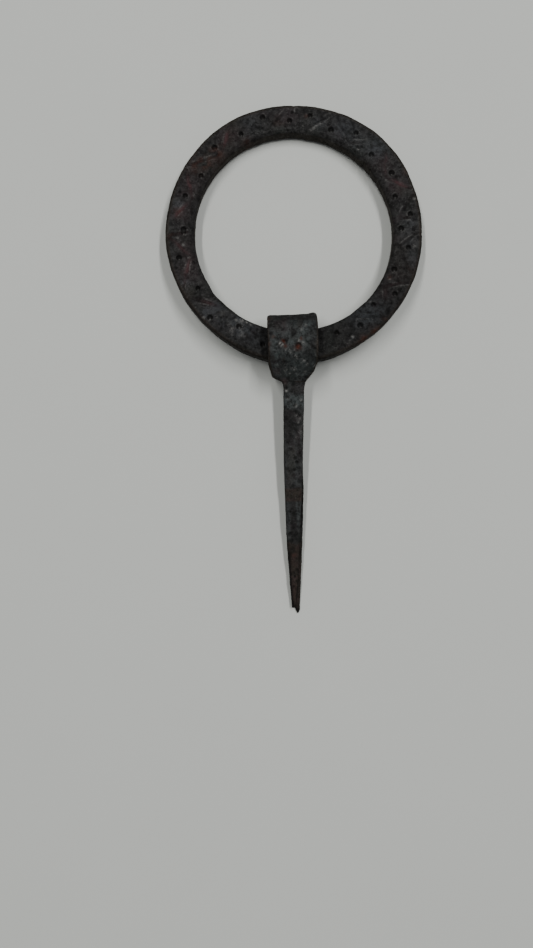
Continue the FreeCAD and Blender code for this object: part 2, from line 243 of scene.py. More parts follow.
def rounded_section(corners, rounds, side_steps, round_steps):
    """Points round a polygon with rounded corners; each coordinate is an array over the stations.

    A round takes up no more than 0.45 of the shorter side beside its corner.
    """
    count = len(corners)
    afters = corners[1:] + corners[:1]
    sides = [
        np.linalg.norm(after - corner, axis=-1, keepdims=True) for corner, after in zip(corners, afters)
    ]
    sizes = [np.minimum(rounds[i], 0.45 * np.minimum(sides[i - 1], sides[i])) for i in range(count)]
    ring = []
    for i in range(count):
        corner, after = corners[i], afters[i]
        start = corner + (corners[i - 1] - corner) / sides[i - 1] * sizes[i]
        end = corner + (after - corner) / sides[i] * sizes[i]
        stop = after + (corner - after) / sides[i] * sizes[(i + 1) % count]
        for step in range(round_steps):
            share = step / round_steps
            ring.append((1 - share) ** 2 * start + 2 * share * (1 - share) * corner + share**2 * end)
        for step in range(side_steps[i]):
            share = step / side_steps[i]
            ring.append((1 - share) * end + share * stop)
    return np.stack(ring, axis=1)


def incise(distance, width, depth, burr):
    """Height change across a cut stroke: a groove with a low raised lip on each side."""
    groove = -depth * hump(distance, width)
    lip = burr * hump(distance - 1.7 * width, 0.7 * width)
    return groove + lip


def round_patches(across, along, spots):
    """Sum of soft round patches given as across, along, size and strength."""
    total = np.zeros_like(across)
    for x, y, size, strength in spots:
        total += strength * np.exp(-(((across - x) ** 2 + (along - y) ** 2) / size**2))
    return total


def round_the_ring(spots):
    """Patches given by angle in degrees and radius, as across, along, size and strength."""
    return tuple(
        (radius * math.cos(math.radians(degrees)), radius * math.sin(math.radians(degrees)), size, strength)
        for degrees, radius, size, strength in spots
    )


def punch_bowls(across, along, centres, size):
    """Struck marks: share of full depth, mask, painted shade (less on the lower side), low rim round each.
    """
    depth, mask, shade, rim = (np.zeros_like(across) for _ in range(4))
    for number, (x, y) in enumerate(centres):
        radius = size * (0.92 + 0.07 * math.sin(number * 2.3))
        away = np.hypot(across - x, along - y)
        bowl = np.sqrt(np.clip(1.0 - (away / radius) ** 2, 0.0, 1.0))
        depth = np.maximum(depth, bowl * (1.0 + 0.30 * (along - y) / radius))
        inside = smoothstep(radius + 0.15, radius - 0.25, away)
        mask = np.maximum(mask, inside)
        below = np.hypot(across - x - 0.15, along - y + 0.55 * radius)
        # Painted shade fills each mark, lighter at a spot on its lower side.
        shade = np.maximum(shade, inside * (1.0 - 0.9 * smoothstep(0.75, 0.25, below)))
        rim += hump(away - radius - 0.30, 0.28)
    return SimpleNamespace(depth=depth, mask=mask, shade=shade, rim=rim)


TOOTH_SIZE = 1.3
TOOTH_HEIGHT = 0.075
ROUGH_STRETCH_SIZE = 8.0
SMALL_CRATER_SPACING = 1.5
SMALL_CRATER_DEPTH = 0.11
LARGE_CRATER_SPACING = 3.1
LARGE_CRATER_DEPTH = 0.16
WORST_STRETCH_SIZE = 6.0


def corroded(points, seed):
    """Relief of old forged iron: fine tooth, shallow craters of two sizes, and a mask of the low spots."""
    tooth = layered_noise(points, TOOTH_SIZE, seed) * TOOTH_HEIGHT
    rough = smoothstep(-0.5, 0.4, noise(points, ROUGH_STRETCH_SIZE, seed + 1))
    small = smoothstep(0.42, 0.12, pits(points, SMALL_CRATER_SPACING, seed + 20)) * rough
    worst = smoothstep(-0.2, 0.4, noise(points, WORST_STRETCH_SIZE, seed + 2))
    large = smoothstep(0.38, 0.10, pits(points, LARGE_CRATER_SPACING, seed + 31)) * worst
    relief = tooth - SMALL_CRATER_DEPTH * small - LARGE_CRATER_DEPTH * large
    return relief, smoothstep(-0.01, -0.14, relief)


# -------------------- the ring

RING_CENTRE = HINGE + turn_about_x(np.array([0.0, HINGE_TO_RING_CENTRE, 0.0]), RING_TILT)
RING_STEPS = 1280
RING_MIDDLE = 48.5

# Roundings of the section's corners, and points along its sides, from the bevel's mouth outwards.
RING_ROUNDS = (0.7, EDGE_ROUND * 1.1, EDGE_ROUND * 1.1, EDGE_ROUND * 1.1, 0.6)
RING_SIDE_STEPS = (31, 6, 12, 4, 3)
RING_ROUND_STEPS = 4

# How the CAD ring's points are told apart: nearness to a level, and where the punch marks begin.
LEVEL_NEARNESS = 0.01
PUNCHES_FROM_RADIUS = 43.7
PUNCH_BREAK_DEGREES = 2.0

# The zigzag between the two rows of punch marks: its radii, its distance from a mark, its cut.
ZIGZAG_INNER = 44.9
ZIGZAG_OUTER = 52.4
STROKE_GAP = math.radians(2.3)
STROKE_GAP_CHANGE = 0.6
ZIGZAG_WAVER = 0.4
ZIGZAG_CUT = {"width": 0.50, "depth": 0.20, "burr": 0.05}
ZIGZAG_SPREAD = 0.75

# Heights of the ring's unevenness.
RING_DENT_HEIGHT = 0.16
RING_TOOLING_HEIGHT = 0.08
RING_WANDER_HEIGHT = 0.16
RING_PUNCH_RIM = 0.07

# The ring's noises: size and seed.
RING_DENTS = (8.0, 3)
RING_TOOLING = (3.2, 9)
RING_WANDER = (7.0, 21)
RING_CORROSION_SEED = 40
RING_WAVER_NOISE = (2.6, 90)
RING_FIRMNESS = (4.0, 95)
RING_CLOUDS = (2.2, 120)
RING_RUSTY_STRETCHES = (9.0, 121)
RING_WORN_EDGES = (4.0, 140)
RING_WORN_BURRS = (3.0, 150)
RING_RIM_GLINTS = (2.0, 151)
RING_BROWN_STRETCHES = (9.0, 160)

# The direction in which painted shade on the ring's front is strongest.
DARK_SIDE = math.radians(-75)

# Patches on the ring's front: angle in degrees, radius, size, strength.
RING_RUST = round_the_ring((
    (134, 46.6, 3.0, 0.75), (142, 47.5, 3.2, 0.7), (147, 50.0, 2.5, 0.5), (84, 50.0, 0.9, 0.7),
    (117.5, 42.6, 2.2, 0.5), (97, 47.5, 2.5, 0.35), (-27, 44.8, 1.0, 0.7), (-46, 55.0, 1.8, 0.7),
    (-52, 55.2, 2.0, 0.8), (-58, 54.6, 2.0, 0.6), (171, 49.5, 2.0, 0.5), (28, 53.5, 1.5, 0.3),
))
RING_STAIN = round_the_ring((
    (171, 47.5, 4.0, 1.0), (157, 47.0, 4.5, 0.8), (124, 48.0, 4.5, 0.9), (187, 46.5, 4.0, 0.9),
    (196, 45.0, 3.0, 0.9), (203, 48.4, 4.5, 1.0), (222, 48.0, 4.0, 0.5), (37, 47.4, 4.0, 0.9),
    (23, 48.0, 4.5, 1.0), (-26, 47.5, 4.0, 0.5), (-36, 46.5, 3.5, 0.3), (150, 46.0, 5.0, 0.4),
))
RING_PATINA = round_the_ring((
    (64, 48.7, 4.5, 0.6), (45, 50.3, 4.5, 0.65), (55, 46.5, 4.0, 0.3), (77, 47.5, 2.5, 0.5),
    (168, 49.5, 2.2, 0.8), (207, 51.0, 2.5, 0.5), (224, 51.0, 2.0, 0.9), (227, 46.9, 3.5, 0.9),
    (236, 48.0, 4.0, 0.6), (244, 47.5, 4.0, 1.0), (239, 43.9, 2.0, 0.8), (252, 49.0, 4.0, 0.4),
    (-53, 46.8, 5.0, 0.8), (-45, 48.9, 4.5, 0.6), (-62, 51.7, 0.9, 1.0), (2, 49.7, 3.0, 0.5),
    (-6, 47.0, 4.0, 0.3), (-14, 49.5, 4.0, 0.3), (112, 50.0, 4.0, 0.3),
))
# Bright specks, partly painted glints, given in the same way.
RING_SPECKS = round_the_ring((
    (225, 53.2, 0.6, 0.9), (227.5, 52.0, 0.5, 0.8), (229, 49.2, 0.5, 0.6), (241, 44.2, 0.6, 1.0),
    (243.5, 44.0, 0.5, 1.0), (246, 44.2, 0.5, 0.8), (239, 49.6, 0.9, 0.6), (240, 51.5, 0.6, 0.5),
    (238, 45.4, 0.6, 0.6), (-62, 51.7, 0.6, 1.0), (-28, 45.2, 0.5, 0.9), (-44, 44.4, 0.5, 0.5),
    (195, 45.4, 0.5, 0.8), (188, 46.8, 0.5, 0.6), (184, 48.9, 0.4, 0.8), (123, 42.5, 0.5, 0.5),
    (80.5, 43.9, 0.6, 0.35), (79, 45.2, 0.7, 0.4), (77.5, 46.5, 0.6, 0.3), (76, 47.8, 0.7, 0.4),
    (74.5, 49.2, 0.6, 0.25), (52, 44.6, 0.5, 0.7), (15, 52.5, 0.6, 0.5), (-8, 51.0, 0.7, 0.5),
    (242, 46.6, 1.5, 0.3), (240, 45.2, 1.2, 0.3), (236, 48.4, 1.2, 0.3), (244, 49.5, 1.5, 0.35),
    (238, 51.0, 1.2, 0.25), (230, 46.5, 1.2, 0.25),
))
# Worn places of the inner edge: angle, half length in degrees, and depth.
RING_CHIPS = ((219, 5.0, 0.55), (44.4, 0.8, 0.45), (32.6, 0.8, 0.45), (39, 0.6, 0.3), (-45, 1.2, 0.12))


def cad_ring_points():
    """The CAD ring's points in the ring's own frame."""
    return turn_about_x(cad_points("ring") - RING_CENTRE, -RING_TILT)


def ring_outlines(angles):
    """Radii of the CAD ring's outer wall, inner wall and bevel mouth at the given angles."""
    local = cad_ring_points()
    angle = np.arctan2(local[:, 1], local[:, 0])
    radius = np.hypot(local[:, 0], local[:, 1])
    wall = (local[:, 2] > EDGE_ROUND - RING_HALF - LEVEL_NEARNESS) & (local[:, 2] < RING_HALF / 3)

    def around(chosen):
        order = np.argsort(angle[chosen])
        return np.interp(angles, angle[chosen][order], radius[chosen][order], period=math.tau)

    outer = around(wall & (radius > RING_MIDDLE))
    inner = around(wall & (radius < RING_MIDDLE))
    mouth = BEVEL_RADIUS + BEVEL_CENTRE[0] * np.cos(angles) + BEVEL_CENTRE[1] * np.sin(angles)
    return outer, inner, mouth


def ring_punches():
    """Centres of the CAD ring's punch marks, in order round the ring."""
    local = cad_ring_points()
    floor = local[np.abs(local[:, 2] - (RING_HALF - PUNCH_DEPTH)) < LEVEL_NEARNESS]
    floor = floor[np.hypot(floor[:, 0], floor[:, 1]) > PUNCHES_FROM_RADIUS]
    angle = np.degrees(np.arctan2(floor[:, 1], floor[:, 0]))
    order = np.argsort(angle)
    floor, angle = floor[order], angle[order]
    breaks = np.nonzero(np.diff(angle) > PUNCH_BREAK_DEGREES)[0] + 1
    groups = np.split(floor[:, :2], breaks)
    return [group.min(axis=0) / 2 + group.max(axis=0) / 2 for group in groups]


def chipped(inner, angles):
    """The inner wall's radii with its worn places."""
    for degrees, half_length, depth in RING_CHIPS:
        away = (angles - math.radians(degrees) + math.pi) % math.tau - math.pi
        inner = inner + depth * hump(np.degrees(away), half_length)
    return inner


def bare_hoop():
    """The hoop before any mark: points round its section at every step, and where each of them lies."""
    angles = np.linspace(-math.pi, math.pi, RING_STEPS, endpoint=False)
    outer, inner, mouth = ring_outlines(angles)
    inner = chipped(inner, angles)
    foot = RING_HALF - (mouth - inner) * BEVEL_FALL
    level = np.full_like(angles, RING_HALF)
    corners = [
        np.stack(pair, axis=-1)
        for pair in ((mouth, level), (outer, level), (outer, -level), (inner, -level), (inner, foot))
    ]
    section = rounded_section(corners, RING_ROUNDS, RING_SIDE_STEPS, RING_ROUND_STEPS)
    radius, height = section[..., 0], section[..., 1]
    angle = np.broadcast_to(angles[:, None], radius.shape)
    points = np.stack((radius * np.cos(angle), radius * np.sin(angle), height), axis=-1)
    normal = grid_normals(points, rows_closed=True)
    if (normal[..., 2] * height).sum() < 0:
        normal = -normal
    return SimpleNamespace(
        points=points, normal=normal, height=height, angle=angle, radius=radius,
        across=points[..., 0],
        along=points[..., 1],
        from_outer=outer[:, None] - radius,
        from_inner=radius - inner[:, None],
        front=smoothstep(0.75, 0.97, normal[..., 2]) * (height > 0),
        sideways=np.clip(1.0 - np.abs(normal[..., 2]), 0.0, 1.0),
    )


def ring_zigzag(across, along, punches):
    """Distance to the nearest stroke of the zigzag that runs between the punch marks.

    Each stroke goes from the inner edge beside an outer mark to the outer edge beside an inner one.
    """
    flat = np.stack((across, along, np.zeros_like(across)), axis=-1)
    waver = noise(flat, *RING_WAVER_NOISE) * ZIGZAG_WAVER
    nearest = np.full_like(across, FAR)
    for number, (here, there) in enumerate(zip(punches, punches[1:] + punches[:1])):
        outer_mark, inner_mark = (here, there) if np.hypot(*here) > np.hypot(*there) else (there, here)
        start_angle = math.atan2(outer_mark[1], outer_mark[0])
        end_angle = math.atan2(inner_mark[1], inner_mark[0])
        turn = (end_angle - start_angle + math.pi) % math.tau - math.pi
        gap = STROKE_GAP * (1.0 + STROKE_GAP_CHANGE * math.sin(number * 1.9))
        end_angle = start_angle + turn - math.copysign(gap, turn)
        start = (ZIGZAG_INNER * math.cos(start_angle), ZIGZAG_INNER * math.sin(start_angle))
        end = (ZIGZAG_OUTER * math.cos(end_angle), ZIGZAG_OUTER * math.sin(end_angle))
        away = distance_to_segment(across + waver, along + waver, start, end)
        nearest = np.minimum(nearest, away)
    return nearest


def ring_work(hoop):
    """The marks, strokes and corrosion on the hoop, and its points with all of them."""
    punches = ring_punches()
    bowls = punch_bowls(hoop.across, hoop.along, punches, PUNCH_RADIUS)
    struck = bowls.mask * hoop.front
    zigzag = ring_zigzag(hoop.across, hoop.along, punches)
    firm = smoothstep(-0.8, 0.3, noise(hoop.points, *RING_FIRMNESS)) * hoop.front
    line = incise(zigzag, **ZIGZAG_CUT) * firm
    relief, low = corroded(hoop.points, RING_CORROSION_SEED)

    dents = layered_noise(hoop.points, *RING_DENTS) * RING_DENT_HEIGHT
    dents += noise(hoop.points, *RING_TOOLING) * RING_TOOLING_HEIGHT
    # The outer and inner walls stray from their outlines each in its own way.
    apart = np.sign(hoop.radius - RING_MIDDLE) * 40.0
    walls = np.stack((hoop.across, hoop.along, apart), axis=-1)
    wander = noise(walls, *RING_WANDER) * RING_WANDER_HEIGHT * hoop.sideways

    lift = dents + wander + (relief + line) * (1 - struck) + RING_PUNCH_RIM * hoop.front * bowls.rim
    points = hoop.points + hoop.normal * lift[..., None]
    points[..., 2] -= hoop.front * bowls.depth * PUNCH_DEPTH
    line_mask = hump(zigzag, ZIGZAG_SPREAD) * firm
    return SimpleNamespace(
        points=points, bowls=bowls, struck=struck, zigzag=zigzag, line_mask=line_mask, low=low
    )


def ring_wear_and_glint(hoop, work):
    """Bare metal and painted glints: worn edges, specks, burrs beside the strokes, rims of the marks."""
    edge = smoothstep(0.10, 0.45, hoop.sideways) * smoothstep(1.0, 0.6, hoop.sideways) * (hoop.height > 0)
    wear_and_glint = 0.20 * edge * smoothstep(0.0, 0.7, noise(work.points, *RING_WORN_EDGES))
    wear_and_glint += round_patches(hoop.across, hoop.along, RING_SPECKS) * hoop.front
    burr = hump(work.zigzag - 0.95, 0.30) * smoothstep(0.0, 0.6, noise(work.points, *RING_WORN_BURRS))
    wear_and_glint += 0.28 * hoop.front * burr
    # Painted glints on the rims of the marks.
    rim_glint = work.bowls.rim * smoothstep(-0.1, 0.6, noise(work.points, *RING_RIM_GLINTS))
    wear_and_glint += 0.20 * hoop.front * rim_glint
    # A painted highlight on the lower side inside each mark.
    wear_and_glint += 0.35 * work.struck * smoothstep(0.5, 0.1, work.bowls.shade)
    return wear_and_glint


def ring_dirt_and_shade(hoop, work, stain):
    """Dirt in strokes and craters, painted shade in marks, on the outer wall, by the edges and to one side.
    """
    clean = 1 - 0.7 * np.clip(stain, 0, 1)
    # Painted shade in the punch marks, and dirt in the strokes.
    dirt_and_shade = np.maximum(hoop.front * work.bowls.shade, 0.6 * work.line_mask * smoothstep(0.6, 0.1, stain))
    dirt_and_shade = np.maximum(dirt_and_shade, 0.8 * work.low * (1 - work.struck) * clean)
    # Painted shade on the outer wall.
    outer_side = smoothstep(0.5, 0.85, hoop.sideways) * (hoop.radius > RING_MIDDLE)
    dirt_and_shade = np.maximum(dirt_and_shade, 0.7 * outer_side)
    # Painted shade growing towards one side of the front.
    dark_side = smoothstep(0.1, 0.9, np.cos(hoop.angle - DARK_SIDE))
    dirt_and_shade = np.clip(dirt_and_shade + 0.45 * dark_side * (1 - dirt_and_shade), 0, 1)
    # Painted shade along the outer edge, then along the inner edge.
    dirt_and_shade = np.maximum(dirt_and_shade, 0.7 * smoothstep(1.2, 0.4, hoop.from_outer))
    return np.maximum(dirt_and_shade, 0.4 * smoothstep(0.9, 0.2, hoop.from_inner))


def ring_marks(hoop, work):
    """What the ring's material reads at each point."""
    clouds = noise(work.points, *RING_CLOUDS)
    rust = round_patches(hoop.across, hoop.along, RING_RUST) * smoothstep(-0.7, 0.3, clouds)
    rusty = smoothstep(0.2, 0.7, noise(work.points, *RING_RUSTY_STRETCHES))
    rust += 0.3 * work.line_mask * rusty
    stain = round_patches(hoop.across, hoop.along, RING_STAIN)
    stain = stain * (0.18 + 1.1 * work.line_mask) * smoothstep(-1.4, -0.3, clouds)
    patina = round_patches(hoop.across, hoop.along, RING_PATINA) * hoop.front
    brown = smoothstep(0.3, 0.8, hoop.sideways)
    brown += 0.3 * smoothstep(0.1, 0.7, noise(work.points, *RING_BROWN_STRETCHES))
    brown += 0.8 * smoothstep(1.8, 0.8, hoop.from_outer)
    return {
        "rust": rust,
        "stain": stain,
        "patina": patina,
        "wear_and_glint": ring_wear_and_glint(hoop, work),
        "dirt_and_shade": ring_dirt_and_shade(hoop, work, stain),
        "brown": brown,
    }


def build_ring():
    """The forged ring: uneven hoop, bevel, punch marks, zigzag, hammer marks and corrosion."""
    hoop = bare_hoop()
    work = ring_work(hoop)
    marks = {key: np.clip(value, 0, 1).ravel() for key, value in ring_marks(hoop, work).items()}
    placed = turn_about_x(work.points.reshape(-1, 3), RING_TILT) + RING_CENTRE
    return make_piece("forged_ring", placed, grid_faces(*hoop.radius.shape, True), marks)


# -------------------- the spike

# Distances between stations along the legs and round the eye, and the number round the fold.
LEG_STEP = 0.40
EYE_STEP = 0.30
FOLD_STEPS = 84

# The strap's section, from the left edge of its outer face: roundings, and points along each side.
STRAP_ROUNDS = (0.5, 0.5, 0.25, 0.25)
STRAP_SIDE_STEPS = (54, 4, 26, 4)
STRAP_ROUND_STEPS = 3
OUTER_SOFTENING = 5
INNER_SOFTENING = 2
EDGE_SOFTENING = 2
SEAM_NEARNESS = 0.02
TIP_NEARNESS = 0.05

# The eye's face: struck marks, the field of fine cuts below them, and single strokes.
EYE_MARKS = ((-3.9, 1.2), (1.5, -0.2))
EYE_MARK_RADIUS = 1.15
EYE_MARK_DEPTH = 0.8
EYE_MARK_RIM = 0.05
CUT_SPACING = 1.5
CUT_LENGTHENING = 0.35
CUT_SEED = 295
CUT_SHAPE = {"width": 0.32, "depth": 0.22, "burr": 0.06}
EYE_STROKES = (
    ((-2.2, 8.5), (0.6, 5.2)), ((0.6, 5.2), (-1.2, 3.0)), ((3.0, 9.0), (7.5, 5.0)),
    ((-8.5, 9.0), (-4.5, 6.5)), ((4.5, 1.5), (8.5, -1.5)), ((-6.8, -0.5), (-4.2, -4.0)),
)
STROKE_SHAPE = {"width": 0.40, "depth": 0.18, "burr": 0.05}
STROKE_WAVER = 0.6

# Heights of the spike's unevenness, and how much longer its grain runs than it is wide.
CROWN_HEIGHT = 0.20
SPIKE_DENT_HEIGHT = 0.12
EYE_DENT_EXTRA = 0.05
GRAIN_HEIGHT = 0.09
GRAIN_LENGTHENING = 0.3

# The spike's noises: size and seed.
SPIKE_DENTS = (6.0, 203)
SPIKE_GRAIN = (1.6, 209)
SPIKE_CORROSION_SEED = 240
SPIKE_WAVER_NOISE = (2.2, 290)
SPIKE_FIRMNESS = (2.5, 300)
SPIKE_CLOUDS = (1.6, 320)
SPIKE_LONG_CLOUDS = (2.2, 330)
EYE_PATINA_CLOUDS = (4.0, 340)

# Patches on the spike's face: across, along, size, strength.
SPIKE_RUST = (
    (-5.0, 1.8, 0.6, 1.0), (-4.1, 1.4, 0.7, 1.2), (-3.8, -0.4, 0.8, 1.2), (1.4, -0.8, 1.3, 1.3),
    (2.8, 2.6, 0.7, 1.6), (-8.8, 3.2, 0.8, 0.7), (-10.2, 0.4, 0.8, 0.6), (-10.6, 11.5, 1.2, 0.5),
    (0.3, -87.5, 1.4, 0.5), (-2.5, -83.0, 1.2, 0.2),
)
# Bright specks, partly painted glints: across, along, size, strength.
SPIKE_SPECKS = (
    (-5.1, 0.1, 0.8, 1.0), (-5.9, 0.6, 0.5, 0.9), (-3.7, -1.9, 0.4, 0.8), (0.6, -4.3, 0.5, 0.8),
    (3.9, -6.2, 0.5, 0.8), (5.2, -7.5, 0.5, 0.7), (0.2, -9.5, 0.6, 0.5), (1.6, 1.8, 0.5, 0.7),
    (3.4, 0.9, 0.5, 0.6), (4.3, 8.0, 0.7, 0.4), (2.6, 6.2, 0.6, 0.4), (8.6, 12.6, 0.5, 0.8),
    (-3.2, -18.2, 0.5, 1.0), (2.9, -22.0, 0.5, 0.8), (0.8, -24.2, 0.7, 0.5), (1.0, -28.2, 0.6, 0.45),
    (2.5, -29.6, 0.6, 0.6), (1.9, -31.2, 0.5, 0.4), (2.8, -35.4, 0.8, 0.4), (1.2, -37.5, 0.6, 0.3),
    (-2.6, -21.0, 0.8, 0.4),
)
SPIKE_STAIN = (
    (-4.0, -14.4, 1.4, 0.35), (-6.0, 8.0, 2.0, 0.15), (-3.2, 7.4, 1.8, 0.1), (-7.0, -10.4, 1.4, 0.35),
    (-4.0, 10.0, 2.0, 0.1),
)
EYE_PATINA = (
    (-8.2, 3.6, 1.4, 0.7), (-8.2, 1.2, 1.4, 0.8), (-8.0, -1.4, 1.4, 0.8), (-7.6, -4.0, 1.5, 0.7),
    (-1.4, 0.6, 1.5, 0.7), (-2.6, 3.6, 1.8, 0.4), (2.2, 4.4, 1.8, 0.6), (4.5, 1.5, 2.2, 0.6),
    (4.2, 7.0, 1.5, 0.5), (5.6, 8.8, 1.2, 0.5), (0.6, -3.8, 2.0, 0.4), (4.6, -6.6, 2.0, 0.4),
    (-7.2, -10.0, 1.5, 0.4), (2.0, -11.0, 2.5, 0.4),
)
# Pits in the shank; here the strength is the depth.
SPIKE_PITS = (
    (-3.3, -17.0, 0.7, 0.5), (3.5, -22.8, 0.6, 0.4), (2.4, -28.5, 0.8, 0.25), (2.9, -32.0, 0.8, 0.25),
)
# Lengths of the shank whose skin is brown: from, to, strength.
BROWN_BANDS = ((-64.6, -59.0, 0.8), (-130.0, -82.6, 0.85))


def leg_edges(side, alongs):
    """Left and right edges of one leg of the CAD spike at the given places along it."""
    local = turn_about_x(cad_points("split_spike") - HINGE, -SPIKE_PITCH)
    corners = local[cad_triangles("split_spike")]
    middle = corners[..., 2].mean(axis=1) * side
    corners = corners[middle > SEAM_NEARNESS]
    low = corners[..., 1].min(axis=1)
    high = corners[..., 1].max(axis=1)
    lefts = []
    rights = []
    for along in alongs:
        crossing = corners[(low <= along) & (high >= along)]
        found = []
        for i in range(3):
            start, end = crossing[:, i], crossing[:, (i + 1) % 3]
            rise = end[:, 1] - start[:, 1]
            steep = np.abs(rise) > TINY
            share = (along - start[steep, 1]) / rise[steep]
            hit = (share >= 0) & (share <= 1)
            found.append(start[steep, 0][hit] + share[hit] * (end[steep, 0] - start[steep, 0])[hit])
        found = np.concatenate(found)
        lefts.append(found.min())
        rights.append(found.max())
    return np.array(lefts), np.array(rights)


def soften(values, reach):
    """Moving average of a row of numbers, with the ends kept."""
    padded = np.concatenate((np.repeat(values[:1], reach), values, np.repeat(values[-1:], reach)))
    window = np.ones(2 * reach + 1) / (2 * reach + 1)
    return np.convolve(padded, window, mode="valid")


def leg_path(end):
    """Outer and inner points of one half of the strap, from its end up to the fold, above the seam."""
    leg = np.arange(end, NECK, LEG_STEP)
    eye = np.arange(NECK, FOLD_CENTRE, EYE_STEP)
    alongs = np.concatenate((leg, eye))
    outer = np.interp(
        alongs,
        (BACK_END, NECK, FLAT_OUTSIDE, FOLD_CENTRE),
        (POINT_HALF, NECK_HALF, EYE_OUTER, EYE_OUTER),
    )
    inner = np.interp(alongs, (THROAT, FLAT_INSIDE, FOLD_CENTRE), (0.0, EYE_INNER, EYE_INNER))
    split = np.interp(alongs, (BACK_END, SPLIT_START), (SPLIT_HALF, SEAM_HALF))
    outer = soften(outer, OUTER_SOFTENING)
    inner = np.maximum(soften(inner, INNER_SOFTENING), split)
    return np.stack((alongs, outer), 1), np.stack((alongs, inner), 1)


def strap_path():
    """Outer and inner points of the whole strap seen from the side, and each station's leg side."""
    front_outer, front_inner = leg_path(FRONT_END)
    back_outer, back_inner = leg_path(BACK_END)
    turn = np.linspace(math.pi / 2, -math.pi / 2, FOLD_STEPS)
    circle = np.stack((np.cos(turn), np.sin(turn)), axis=1)
    centre = np.array([FOLD_CENTRE, 0.0])
    mirror = np.array([1.0, -1.0])
    outer = np.concatenate((front_outer, centre + EYE_OUTER * circle, (back_outer * mirror)[::-1]))
    inner = np.concatenate((front_inner, centre + EYE_INNER * circle, (back_inner * mirror)[::-1]))
    fold_side = np.where(turn > 0, 1.0, -1.0)
    side = np.concatenate((np.ones(len(front_outer)), fold_side, -np.ones(len(back_outer))))
    return outer, inner, side


def strap_edges(alongs, side):
    """The strap's left and right edges at every station."""
    left = np.zeros(len(alongs))
    right = np.zeros(len(alongs))
    for sign, end in ((1.0, FRONT_END), (-1.0, BACK_END)):
        chosen = side == sign
        left[chosen], right[chosen] = leg_edges(sign, np.maximum(alongs[chosen], end + TIP_NEARNESS))
    return soften(left, EDGE_SOFTENING), soften(right, EDGE_SOFTENING)


def bare_strap():
    """The strap before any mark: points round its section at every station, and where each lies."""
    outer, inner, side = strap_path()
    left, right = strap_edges((outer[:, 0] + inner[:, 0]) / 2, side)

    def corner(x, profile):
        return np.stack((x, profile[:, 0], profile[:, 1]), axis=-1)

    corners = [corner(left, outer), corner(right, outer), corner(right, inner), corner(left, inner)]
    points = rounded_section(corners, STRAP_ROUNDS, STRAP_SIDE_STEPS, STRAP_ROUND_STEPS)
    normal = grid_normals(points, rows_closed=False)
    thickness = corner(np.zeros_like(left), outer - inner)
    if (normal[:, STRAP_SIDE_STEPS[0] // 2] * thickness).sum() < 0:
        normal = -normal

    x, y = points[..., 0], points[..., 1]
    full = np.ones_like(x)
    column = np.arange(x.shape[1])
    outer_face_end = 2 * STRAP_ROUND_STEPS + STRAP_SIDE_STEPS[0]
    right_side_end = outer_face_end + STRAP_ROUND_STEPS + STRAP_SIDE_STEPS[1]
    left_side_start = len(column) - STRAP_SIDE_STEPS[3]
    outside = (column < outer_face_end) * full
    rim_distance = np.minimum(x - left[:, None], right[:, None] - x)
    return SimpleNamespace(
        points=points, normal=normal, x=x, y=y, rim_distance=rim_distance, outside=outside,
        middle=(left + right)[:, None] / 2,
        half=(right - left)[:, None] / 2,
        from_left=x - left[:, None],
        skin=((column < right_side_end) | (column > left_side_start)) * full,
        front=(side[:, None] > 0) * full,
        eye=smoothstep(-15.0, -12.5, y),
        face=smoothstep(0.1, 0.6, rim_distance) * outside,
        streaked=points * np.array([1.0, GRAIN_LENGTHENING, 1.0]),
    )


def crossing_cuts(across, along):
    """Rough distance to the nearest of many short, uneven cuts slanting both ways."""
    nearest = np.full_like(across, FAR)
    for lean in (1.0, -1.0):
        over = (across * lean + along) / math.sqrt(2.0)
        beside = (across - along * lean) / math.sqrt(2.0)
        # Far enough apart for the two ways to have cuts of their own.
        layer = np.full_like(over, lean * 50.0)
        spot = np.stack((over, beside * CUT_LENGTHENING, layer), axis=-1)
        nearest = np.minimum(nearest, np.abs(noise(spot, CUT_SPACING, CUT_SEED)) * CUT_SPACING)
    return nearest


def eye_strokes(strap):
    """Distance to the nearest single stroke on the eye's face."""
    waver = noise(strap.points, *SPIKE_WAVER_NOISE) * STROKE_WAVER
    nearest = np.full_like(strap.x, FAR)
    for start, end in EYE_STROKES:
        away = distance_to_segment(strap.x + waver, strap.y + waver, start, end)
        nearest = np.minimum(nearest, away)
    return nearest


def raised_corners(strap):
    """How far the fold's corners stand along the spike: the right one higher, both of them worn."""
    x = strap.x
    fold = smoothstep(9.0, 12.0, strap.y)
    right_corner = 0.5 * hump(x - 7.7, 1.5) - 0.5 * smoothstep(8.6, 9.6, x)
    slant = 0.35 * x / 10.0 - 0.3 * smoothstep(-10.0, -11.0, x)
    return fold * (right_corner + slant)


